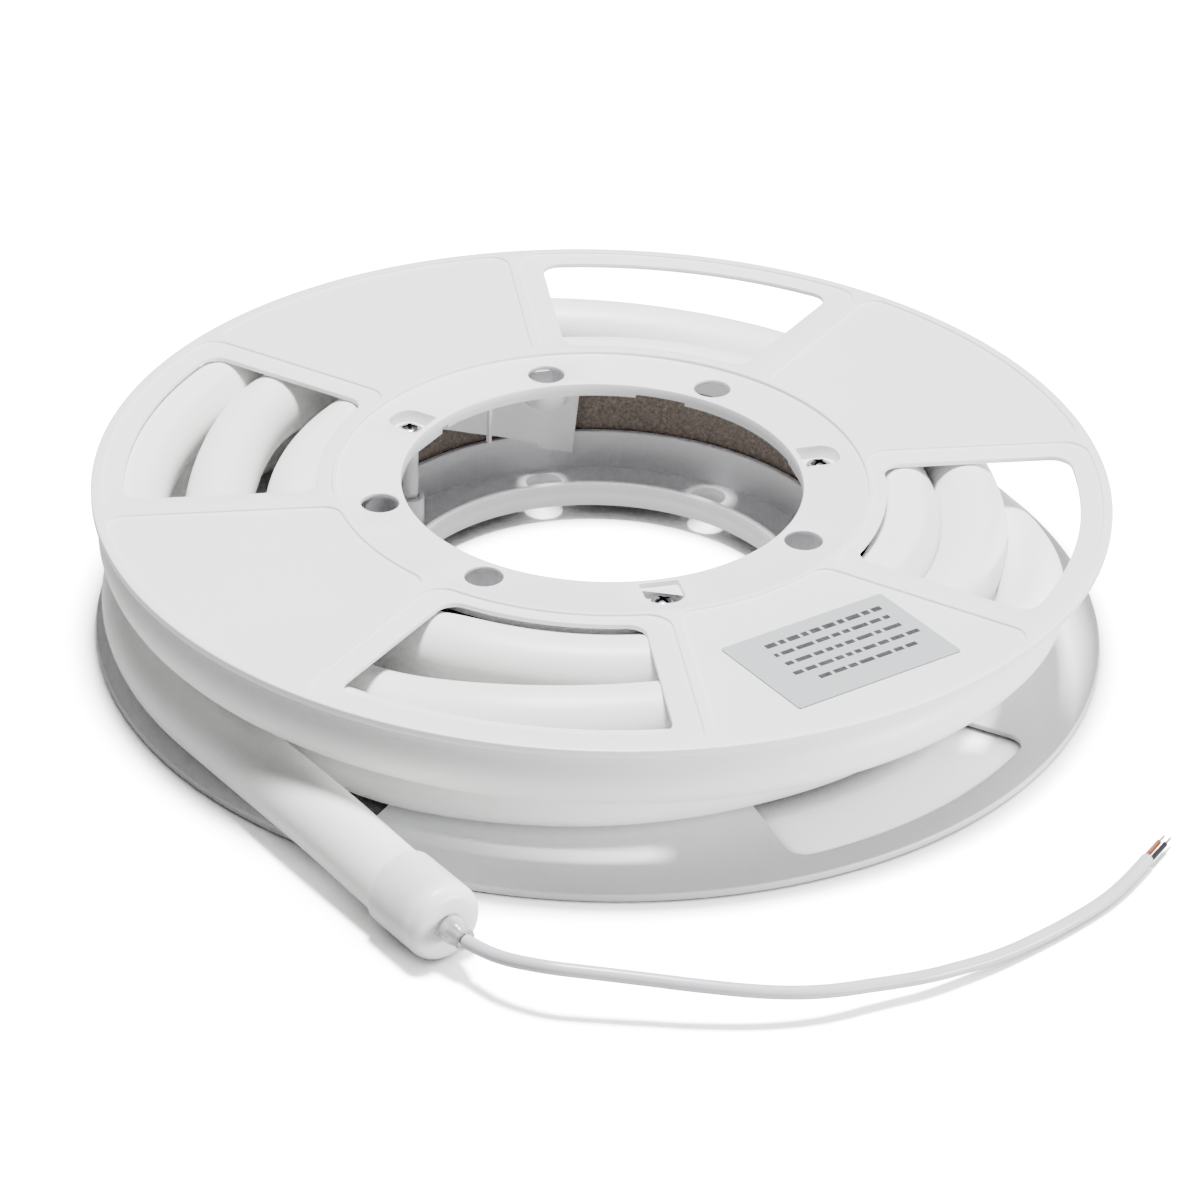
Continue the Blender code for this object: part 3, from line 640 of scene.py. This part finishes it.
def lower_flange():
    bm = bmesh.new()
    rim, inner = turned(bm, rim_profile(0, -1))
    under_lip, under_ring = turned(bm, [
        (RING_OUT + 0.25, 0), (RING_OUT, 0.25), (RING_OUT, 1.4), (RING_OUT - 0.3, 1.6), (SPIGOT_IN + 0.3, 1.6),
        (SPIGOT_IN, 1.9), (SPIGOT_IN, LOWER_RING_UNDER - 0.3), (SPIGOT_IN - 0.3, LOWER_RING_UNDER)])
    spigot_foot, ring_edge = turned(bm, [
        (SPIGOT_OUT, PLATE), (SPIGOT_OUT, LOWER_SPIGOT_TOP - 0.2), (SPIGOT_OUT - 0.3, LOWER_SPIGOT_TOP),
        (SPIGOT_IN + 0.3, LOWER_SPIGOT_TOP), (SPIGOT_IN, LOWER_SPIGOT_TOP - 0.3),
        (SPIGOT_IN, LOWER_RING_TOP + 0.6), (SPIGOT_IN - 0.2, LOWER_RING_TOP + 0.15),
        (SPIGOT_IN - 0.6, LOWER_RING_TOP)])
    flange_face(bm, LOWER_TURN, 0, -1, rim, inner, (under_lip, spigot_foot))
    collar_foot, collar_under = turned(bm, COLLAR)
    top_holes, under_holes = [], []
    for angle in HOLES:
        first, last = hole_rim(bm, angle, LOWER_RING_TOP, LOWER_RING_UNDER)
        top_holes.append(first)
        under_holes.append(last)
    for angle in SCREWS:
        foot = round_at(bm, angle, POST_OUT + 0.4, LOWER_RING_TOP)
        end = round_at(bm, angle, SCREW_HOLE, SCREW_END - 1)
        wall(bm, foot, round_at(bm, angle, POST_OUT + 0.1, LOWER_RING_TOP + 0.3),
             round_at(bm, angle, POST_OUT, SOCKET_TOP - 0.3), round_at(bm, angle, POST_OUT - 0.3, SOCKET_TOP),
             round_at(bm, angle, POST_IN + 0.3, SOCKET_TOP), round_at(bm, angle, POST_IN, SOCKET_TOP - 0.3),
             round_at(bm, angle, POST_IN, SOCKET_FLOOR), round_at(bm, angle, SCREW_HOLE, SOCKET_FLOOR), end)
        fill(bm, end)
        top_holes.append(foot)
    fill(bm, ring_edge, collar_foot, *top_holes)
    fill(bm, under_ring, collar_under, *under_holes)
    web = ((WEB_IN, -0.6), (SPIGOT_IN + 0.2, -0.7), (SPIGOT_IN + 0.2, 0.7), (WEB_IN, 0.6))
    for angle in SCREWS:
        along, across = polar(1, angle), polar(1, angle + 90)
        ends = [along * u + across * s for u, s in web]
        lows = [bm.verts.new((v.x, v.y, LOWER_RING_TOP - 0.1)) for v in ends]
        tops = [bm.verts.new((v.x, v.y, WEB_TOP)) for v in ends]
        wall(bm, lows, tops)
        bm.faces.new(tops)
        bm.faces.new(lows)
    link_mesh("lower_flange_moulding", bm, WHITE, ["lower_flange"])


def core_tube():
    bm = bmesh.new()
    low, high = TUBE_LOW, H - TUBE_LOW
    turned(bm, [
        (TUBE_IN, low + 0.2), (TUBE_IN + 0.2, low), (TUBE_OUT - 0.2, low), (TUBE_OUT, low + 0.2),
        (TUBE_OUT, high - 0.2), (TUBE_OUT - 0.2, high), (TUBE_IN + 0.2, high), (TUBE_IN, high - 0.2),
        (TUBE_IN, low + 0.2)])
    link_mesh("core_tube_board", bm, cardboard(), ["core_tube"])


# ---- flex ----

# Centre line of the wound flex, clockwise from its free end: angle, radius, height
ROUTE = [
    (228.15, 173.3, LOW), (190, 172.2, LOW), (150, 168, LOW), (105, 161.9, LOW), (65, 155.6, LOW),
    (40, 152, 17), (20, 152.7, 26), (0, 159.8, 37.9), (-18, 169, 44.3), (-45, 172.6, HIGH),
    (-90, 173.3, HIGH), (-145, 173.3, HIGH), (-198, 172.2, HIGH), (-213, 168, HIGH), (-229.3, 159, HIGH),
    (-239.3, 152.5, HIGH), (-250.7, 147.2, HIGH), (-273.3, 141, HIGH), (-310, 138, HIGH),
    (-349.3, 137.5, HIGH), (-405, 139.5, HIGH), (-429, 141.9, HIGH), (-436, 143.2, HIGH),
    (-445, 146.1, HIGH), (-452.7, 147.7, 44.2), (-461.6, 148.4, 41.5), (-469, 148.8, 38.8),
    (-476, 148.8, 37.6), (-490, 146, 40), (-510, 142, 44.5), (-520, 141.5, HIGH), (-537.3, 141.5, HIGH),
    (-562.3, 149, HIGH), (-570, 146.5, 43), (-579.3, 140.5, 37), (-589.3, 138, 29), (-599.3, 137.6, 21),
    (-611.3, 137.6, LOW), (-709, 137.2, LOW), (-776.3, 137.2, LOW), (-809.3, 145, LOW),
    (-831.3, 151.5, LOW), (-851.3, 147, LOW), (-889.3, 138, LOW), (-915, 122, LOW), (-929.3, 112.5, LOW),
    (-945, 111.5, LOW), (-1212, 111.5, LOW), (-1227, 111.5, 30), (-1243, 112, HIGH), (-1282, 112, HIGH),
    (-1353, 114, HIGH), (-1430, 113, HIGH), (-1509, 112.6, 45.9), (-1550, 112.6, 45.7), (-1556, 112.6, 42),
    (-1563, 112.6, 36),
]
ROUTE_STEP = 1.5
TAIL_STEPS = 34
IN_CAP = 19


def smooth(values, reach):
    out = []
    for i in range(len(values)):
        near = [values[min(max(j, 0), len(values) - 1)] for j in range(i - reach, i + reach + 1)]
        out.append(sum(near) / len(near))
    return out


def flex_line():
    """Points of the flex from inside the end cap to its hidden inner end."""
    radii, heights, angles = [], [], []
    angle = ROUTE[0][0]
    i = 0
    while angle > ROUTE[-1][0]:
        while ROUTE[i + 1][0] >= angle:
            i += 1
        a, b = ROUTE[i], ROUTE[i + 1]
        share = (a[0] - angle) / (a[0] - b[0])
        angles.append(angle)
        radii.append(a[1] + (b[1] - a[1]) * share)
        heights.append(a[2] + (b[2] - a[2]) * share)
        angle -= ROUTE_STEP
    for _ in range(2):
        radii = smooth(radii, 4)
        heights = smooth(heights, 4)
    over_rim = math.sqrt(R ** 2 - OUTER_TURN_R ** 2)
    points = []
    for k in range(TAIL_STEPS):
        along = (TAIL_LEN + IN_CAP) * (1 - k / TAIL_STEPS)
        drop = min(max((along - over_rim) / (TAIL_LEN - over_rim), 0), 1)
        point = TAIL_START + TAIL_DIR * along
        point.z += (CAP_R - LOW) * drop * drop * (3 - 2 * drop)
        points.append(point)
    for angle, radius, height in zip(angles, radii, heights):
        points.append(polar(radius, angle, height))
    return points


def neon_flex():
    points = flex_line()
    length = sum((b - a).length for a, b in zip(points, points[1:]))
    print("flex length", round(length), "mm")
    bm = bmesh.new()
    radii = [FLEX] * len(points)
    chamfer = 0.6
    first = points[0] + (points[0] - points[1]).normalized() * chamfer
    last = points[-1] + (points[-1] - points[-2]).normalized() * chamfer
    tube(bm, [first] + points + [last], [FLEX - chamfer] + radii + [FLEX - chamfer], SMALL_ROUND)
    link_mesh("neon_flex_tube", bm, SILICONE, ["neon_flex"])


def along_tail(base):
    """Frame whose Z runs along the free end, at a point of it."""
    across = Vector((0, 0, 1)).cross(TAIL_DIR)
    turn = Matrix((across, Vector((0, 0, 1)), TAIL_DIR)).transposed().to_4x4()
    return Matrix.Translation(base) @ turn


CAP_BORE = 12.8
CAP_FLOOR = 20.0
CAP_ROUND = 4.5


def end_cap():
    bm = bmesh.new()
    profile = [
        (0, CAP_FLOOR), (CAP_BORE - 0.4, CAP_FLOOR), (CAP_BORE, CAP_FLOOR - 0.4), (CAP_BORE, 0.4),
        (CAP_BORE + 0.2, 0.0), (CAP_R - 0.3, 0.0), (CAP_R, 0.4), (CAP_R, CAP_LEN - CAP_ROUND)]
    for i in range(1, 9):
        t = math.radians(90 * i / 8)
        profile.append((CAP_R - CAP_ROUND + CAP_ROUND * math.cos(t), CAP_LEN - CAP_ROUND + CAP_ROUND * math.sin(t)))
    profile += [(6.2, CAP_LEN), (4.9, CAP_LEN - 0.3), (4.3, CAP_LEN - 1.6), (0, CAP_LEN - 1.8)]
    turned(bm, profile, 64, along_tail(CAP_BACK))
    link_mesh("end_cap_cup", bm, frosted_silicone(), ["end_cap"])


# ---- lead ----

BOOT_LEN = 9.0
LEAD_R = 2.4
CORE_R = 0.95
# Outline of the clear sleeve: radius, distance from the cap
BOOT = (
    (4.7, 0.3), (4.8, 1.2), (4.75, 3.2), (4.3, 5.2), (3.6, 7.2), (3.45, 8.0), (3.8, 8.4), (3.95, 8.8),
    (3.75, 9.2), (2.9, 9.3), (2.7, 8.9), (3.0, 7.0), (3.6, 4.8), (3.9, 2.8), (3.9, 0.3), (4.7, 0.3),
)
# How far each core lies from the sleeve's axis: distance from the cap, offset
CORE_SPREAD = ((-1.2, 2.6), (1, 2.5), (4, 2.1), (7, 1.4), (9.3, 1.15))
# Centre line of the lead, from the sleeve to the bare end
LEAD_ROUTE = [
    (9.1, -239.6, 14.5), (18.8, -244.7, 15.7), (33.8, -247.7, 16.9), (50.1, -246.4, 16.3), (66.1, -244.4, 15.2),
    (83.0, -242.1, 13.9), (103.6, -237.5, 11.8), (121.2, -230.3, 9.8), (138.7, -218.5, 7.5), (154.6, -207.1, 5.9),
    (176.7, -185.1, 3.2), (198.4, -156.9, 2.6), (209.5, -137.5, 2.6), (217.0, -117.8, 2.6),
]
LEAD_POINTS = 28


def spline(points, t):
    """Read a smooth curve through all the points at t, counted in points."""
    i = min(int(t), len(points) - 2)
    u = t - i
    p1, p2 = Vector(points[i]), Vector(points[i + 1])
    p0 = Vector(points[i - 1]) if i > 0 else 2 * p1 - p2
    p3 = Vector(points[i + 2]) if i + 2 < len(points) else 2 * p2 - p1
    linear, square, cubic = p2 - p0, 2 * p0 - 5 * p1 + 4 * p2 - p3, 3 * p1 - p0 - 3 * p2 + p3
    return 0.5 * (2 * p1 + linear * u + square * u * u + cubic * u ** 3)


def lead_points():
    start = CAP_FRONT + TAIL_DIR * (BOOT_LEN + 0.6)
    route = [start] + [Vector(p) for p in LEAD_ROUTE]
    return [spline(route, (len(route) - 1) * i / (LEAD_POINTS - 1)) for i in range(LEAD_POINTS)]


def lead():
    points = lead_points()
    curve = bpy.data.curves.new("lead_cable", "CURVE")
    curve.dimensions = "3D"
    curve.bevel_depth = LEAD_R * MM
    curve.bevel_resolution = 6
    curve.resolution_u = 6
    curve.use_fill_caps = True
    line = curve.splines.new("BEZIER")
    line.bezier_points.add(len(points) - 1)
    for target, point in zip(line.bezier_points, points):
        target.co = point * MM
        target.handle_left_type = "AUTO"
        target.handle_right_type = "AUTO"
    curve.materials.append(lead_sheath())
    piece = bpy.data.objects.new("lead_cable", curve)
    piece.location = AXIS
    bpy.context.scene.collection.objects.link(piece)
    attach(piece, "root")
    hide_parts("lead")
    return piece, points


def boot():
    """Clear sleeve over the cores where they leave the cap."""
    bm = bmesh.new()
    turned(bm, BOOT, SMALL_ROUND, along_tail(CAP_FRONT))
    link_mesh("lead_sleeve", bm, clear_sleeve(), ["lead_boot"])


def cores_in_boot():
    """The lead's brown and black cores, seen through the clear sleeve."""
    for name, side, colour, slot in (("sleeve_core_brown", -1, (0.32, 0.12, 0.07), "core_brown"),
                                     ("sleeve_core_black", 1, (0.03, 0.03, 0.035), "core_black")):
        bm = bmesh.new()
        line = [CAP_FRONT + TAIL_DIR * u + Vector((0, 0, side * v)) for u, v in CORE_SPREAD]
        tube(bm, line, [CORE_R] * len(line), 16)
        link_mesh(name, bm, insulation(name, colour))


def bare_end(points):
    """Two insulated cores at the lead's end with twisted, tinned strands at their tips."""
    ahead = (points[-1] - points[-2]).normalized()
    aside = ahead.cross(Vector((0, 0, 1))).normalized()
    pieces = []
    strand_mat = tinned_wire()
    for name, sign, colour in (("core_brown", -1, (0.32, 0.1, 0.05)), ("core_black", 1, (0.02, 0.02, 0.022))):
        base = points[-1] + ahead * 0.3 + aside * (sign * 1.2)
        line = [base + ahead * u for u in (0, 4, 8, 12)]
        bm = bmesh.new()
        tube(bm, line, [CORE_R] * len(line), 20)
        pieces.append(link_mesh(name + "_insulation", bm, insulation(name + "_skin", colour), [name]))
        bm = bmesh.new()
        turn = Matrix((aside, Vector((0, 0, 1)), ahead)).transposed()
        for k in range(5):
            strand = []
            for i in range(13):
                u = i / 12
                t = 2 * math.pi * (k / 5 + 0.9 * u)
                reach = 0.34 * (1 - 0.25 * u)
                offset = turn @ Vector((reach * math.cos(t), reach * math.sin(t), 0))
                strand.append(base + ahead * (11.9 + 4.5 * u) + offset)
            tube(bm, strand, [0.2] * len(strand), 8)
        pieces.append(link_mesh(name + "_strands", bm, strand_mat))
    return pieces


# ---- small parts ----

SCREW_SPIN = (35, 38, 20)
HEAD_R = 3.75
HEAD_FOOT = 0.75
GRID_R = 3.4
GRID_ROWS = 44
GRID_STEPS = 120
WASHER_R = 4.75
SHANK_R = 1.8
CROSS_REACH = 2.85
CROSS_HALF = 0.75
CROSS_MIDDLE = 1.15


def in_cross(x, y):
    """Whether a point of a screw head's top lies in its cross recess."""
    x, y = abs(x), abs(y)
    return ((x < CROSS_REACH and y < CROSS_HALF - 0.1 * x) or (y < CROSS_REACH and x < CROSS_HALF - 0.1 * y)
            or math.hypot(x, y) < CROSS_MIDDLE)


def dome_height(distance):
    """Height of a screw head's dome above its foot, at a distance from its axis."""
    return 1.45 * math.sqrt(max(1 - (distance / HEAD_R) ** 2, 0.0))


def on_grid(ring, k):
    """Point of a screw head's top, at a ring and a step round it."""
    t = 2 * math.pi * k / GRID_STEPS
    return GRID_R * ring / GRID_ROWS * math.cos(t), GRID_R * ring / GRID_ROWS * math.sin(t)


def screw(index, angle, mat, dark):
    """Washer-head screw with a cross recess, sunk in its pocket. The recess faces are a separate piece in the
    near-black dark material, which is painted shade inside the cross.
    """
    seat = POCKET_FLOOR + 0.3
    c = polar(PLACES, angle)
    spin = math.radians(angle + SCREW_SPIN[index - 1])
    grid = {}
    head, recess = bmesh.new(), bmesh.new()

    def height(x, y):
        if in_cross(x, y):
            return seat + HEAD_FOOT + 0.25 * math.hypot(x, y) / 3.0
        return seat + HEAD_FOOT + dome_height(math.hypot(x, y))

    def corner(bm, ring, k):
        key = (bm is head, ring, k % GRID_STEPS if ring else 0)
        if key not in grid:
            x, y = on_grid(ring, k)
            spun = Matrix.Rotation(spin, 3, "Z") @ Vector((x, y, 0))
            grid[key] = bm.verts.new((c.x + spun.x, c.y + spun.y, height(x, y)))
        return grid[key]

    for ring in range(GRID_ROWS):
        for k in range(GRID_STEPS):
            bm = recess if in_cross(*on_grid(ring + 0.5, k + 0.5)) else head
            corners = [corner(bm, ring, k), corner(bm, ring, k + 1), corner(bm, ring + 1, k + 1),
                       corner(bm, ring + 1, k)]
            bm.faces.new(list(dict.fromkeys(corners)))
    profile = [
        (GRID_R, seat + HEAD_FOOT + dome_height(GRID_R)), (3.6, seat + 1.1), (HEAD_R, seat + HEAD_FOOT),
        (3.8, seat + 0.6), (4.6, seat + 0.55), (WASHER_R, seat + 0.4), (WASHER_R, seat), (SHANK_R, seat),
        (SHANK_R, SCREW_END + 2), (0, SCREW_END)]
    turned(head, profile, GRID_STEPS, Matrix.Translation(c) @ Matrix.Rotation(spin, 4, "Z"))
    link_mesh("screw_%d_head" % index, head, mat, ["screw_%d" % index])
    # The recess piece carries the near-black steel: painted shade inside the cross recess.
    link_mesh("screw_%d_recess" % index, recess, dark)


LABEL_AT = 316.2
LABEL_R = 144.7
LABEL_W = 70.0
LABEL_H = 45.6
LABEL_CORNER = 1.0
LABEL_THICK = 0.22
LABEL_ROWS = ((52, 2.6), (50, 2.2), (50, 2.2), (56, 2.2), (44, 2.2))  # length and height of each row
ROW_MARGIN = 6.5
ROW_STEP = 6.4
ROW_SHIFT = 3


def label():
    """Bare silver film with rows of plain strokes where the real one is printed."""
    low = H - RECESS + 0.3
    along, across = polar(1, LABEL_AT), polar(1, LABEL_AT + 90)
    origin = polar(LABEL_R, LABEL_AT)

    def place(u, v):
        p = origin + across * u + along * v
        return p.x, p.y

    outline = []
    for su, sv, start in ((1, 1, 0), (-1, 1, 90), (-1, -1, 180), (1, -1, 270)):
        cu, cv = su * (LABEL_W / 2 - LABEL_CORNER), sv * (LABEL_H / 2 - LABEL_CORNER)
        outline += [place(u, v) for u, v in arc(cu, cv, LABEL_CORNER, start, start + 90, 5)]
    bm = bmesh.new()
    foot = loop(bm, outline, low)
    top = loop(bm, outline, low + LABEL_THICK)
    wall(bm, foot, top)
    fill(bm, foot)
    fill(bm, top)
    link_mesh("label_film", bm, label_film(), ["label"])
    bm = bmesh.new()
    for row, (reach, thick) in enumerate(LABEL_ROWS):
        v = -LABEL_H / 2 + ROW_MARGIN + row * ROW_STEP
        u = -reach / 2 - ROW_SHIFT
        while u < reach / 2 - ROW_SHIFT:
            stroke = min(random.uniform(2.2, 7.5), reach / 2 - ROW_SHIFT - u)
            if stroke > 1:
                corners = [place(-u, v), place(-u - stroke, v), place(-u - stroke, v + thick), place(-u, v + thick)]
                foot, top = loop(bm, corners, low + 0.2), loop(bm, corners, low + 0.26)
                wall(bm, foot, top)
                fill(bm, top)
            u += stroke + 1.3
    link_mesh("label_strokes", bm, label_print())


lead_piece, route = lead()
ends = bare_end(route)
upper_flange()
lower_flange()
core_tube()
neon_flex()
end_cap()
boot()
cores_in_boot()
# Near-black steel for the screws' cross recesses is painted shade, not the steel's own colour.
steel, recess_shade_steel = plated_steel("plated_steel", 0.62), plated_steel("recess_painted_shade", 0.03)
for number, place_angle in enumerate(SCREWS):
    screw(number + 1, place_angle, steel, recess_shade_steel)
label()


# ---- floor and light ----

FLOOR_HALF = 6
FLOOR_GAIN = 6.0
# Reach and strength of the painted occlusion shade on the floor
SHADE_REACH = 0.05
SHADE_POWER = 1.2
WORLD_STRENGTH = 0.12
KEY_AT, KEY_SIZE, KEY_POWER = (-0.03, 0.16, 2.194), (0.4, 0.4), 180
SIDE_AT, SIDE_SIZE, SIDE_POWER = (1.65, -0.42, 0.13), (0.9, 0.24), 62


def floor():
    """White table that the camera sees overexposed, so only the deeper shadows show on it. For camera rays its
    colour is also darkened by ambient occlusion, which is painted shade near and under the reel.
    """
    mesh = bpy.data.meshes.new("floor")
    half = FLOOR_HALF
    mesh.from_pydata([(-half, -half, 0), (half, -half, 0), (half, half, 0), (-half, half, 0)], [], [(0, 1, 2, 3)])
    n = Nodes("floor", (0.5, 0.5, 0.5), 0.3)
    n.link(n.spread(n.noise(3, 2), 0.3, 0.4), "Roughness")
    tree = n.tree
    bright = tree.nodes.new("ShaderNodeBsdfDiffuse")
    # Ambient occlusion scales the camera's floor colour down near the reel: painted shade.
    occlusion_shade = tree.nodes.new("ShaderNodeAmbientOcclusion")
    occlusion_shade.samples = 16
    occlusion_shade.inputs["Distance"].default_value = SHADE_REACH
    power = tree.nodes.new("ShaderNodeMath")
    power.operation = "POWER"
    power.inputs[1].default_value = SHADE_POWER
    tree.links.new(occlusion_shade.outputs["AO"], power.inputs[0])
    gain = tree.nodes.new("ShaderNodeMath")
    gain.operation = "MULTIPLY"
    gain.inputs[1].default_value = FLOOR_GAIN
    tree.links.new(power.outputs["Value"], gain.inputs[0])
    tree.links.new(gain.outputs["Value"], bright.inputs["Color"])
    rays = tree.nodes.new("ShaderNodeLightPath")
    mix = tree.nodes.new("ShaderNodeMixShader")
    tree.links.new(rays.outputs["Is Camera Ray"], mix.inputs["Fac"])
    tree.links.new(n.shader.outputs["BSDF"], mix.inputs[1])
    tree.links.new(bright.outputs["BSDF"], mix.inputs[2])
    tree.links.new(mix.outputs["Shader"], tree.nodes["Material Output"].inputs["Surface"])
    mesh.materials.append(n.mat)
    piece = bpy.data.objects.new("floor", mesh)
    piece.location.z = -0.0005
    bpy.context.scene.collection.objects.link(piece)


def area_light(name, position, target, size, power):
    data = bpy.data.lights.new(name, "AREA")
    data.shape = "RECTANGLE"
    data.size, data.size_y = size
    data.energy = power
    light = bpy.data.objects.new(name, data)
    light.location = position
    direction = Vector(target) - Vector(position)
    light.rotation_euler = direction.to_track_quat("-Z", "Y").to_euler()
    bpy.context.scene.collection.objects.link(light)


def surroundings():
    world = bpy.data.worlds.new("studio")
    world.use_nodes = True
    background = world.node_tree.nodes["Background"]
    background.inputs["Color"].default_value = (1, 1, 1, 1)
    background.inputs["Strength"].default_value = WORLD_STRENGTH
    bpy.context.scene.world = world


floor()
surroundings()
area_light("key", KEY_AT, (0, 0, 0), KEY_SIZE, KEY_POWER)
area_light("side", SIDE_AT, (0, 0, 0.03), SIDE_SIZE, SIDE_POWER)
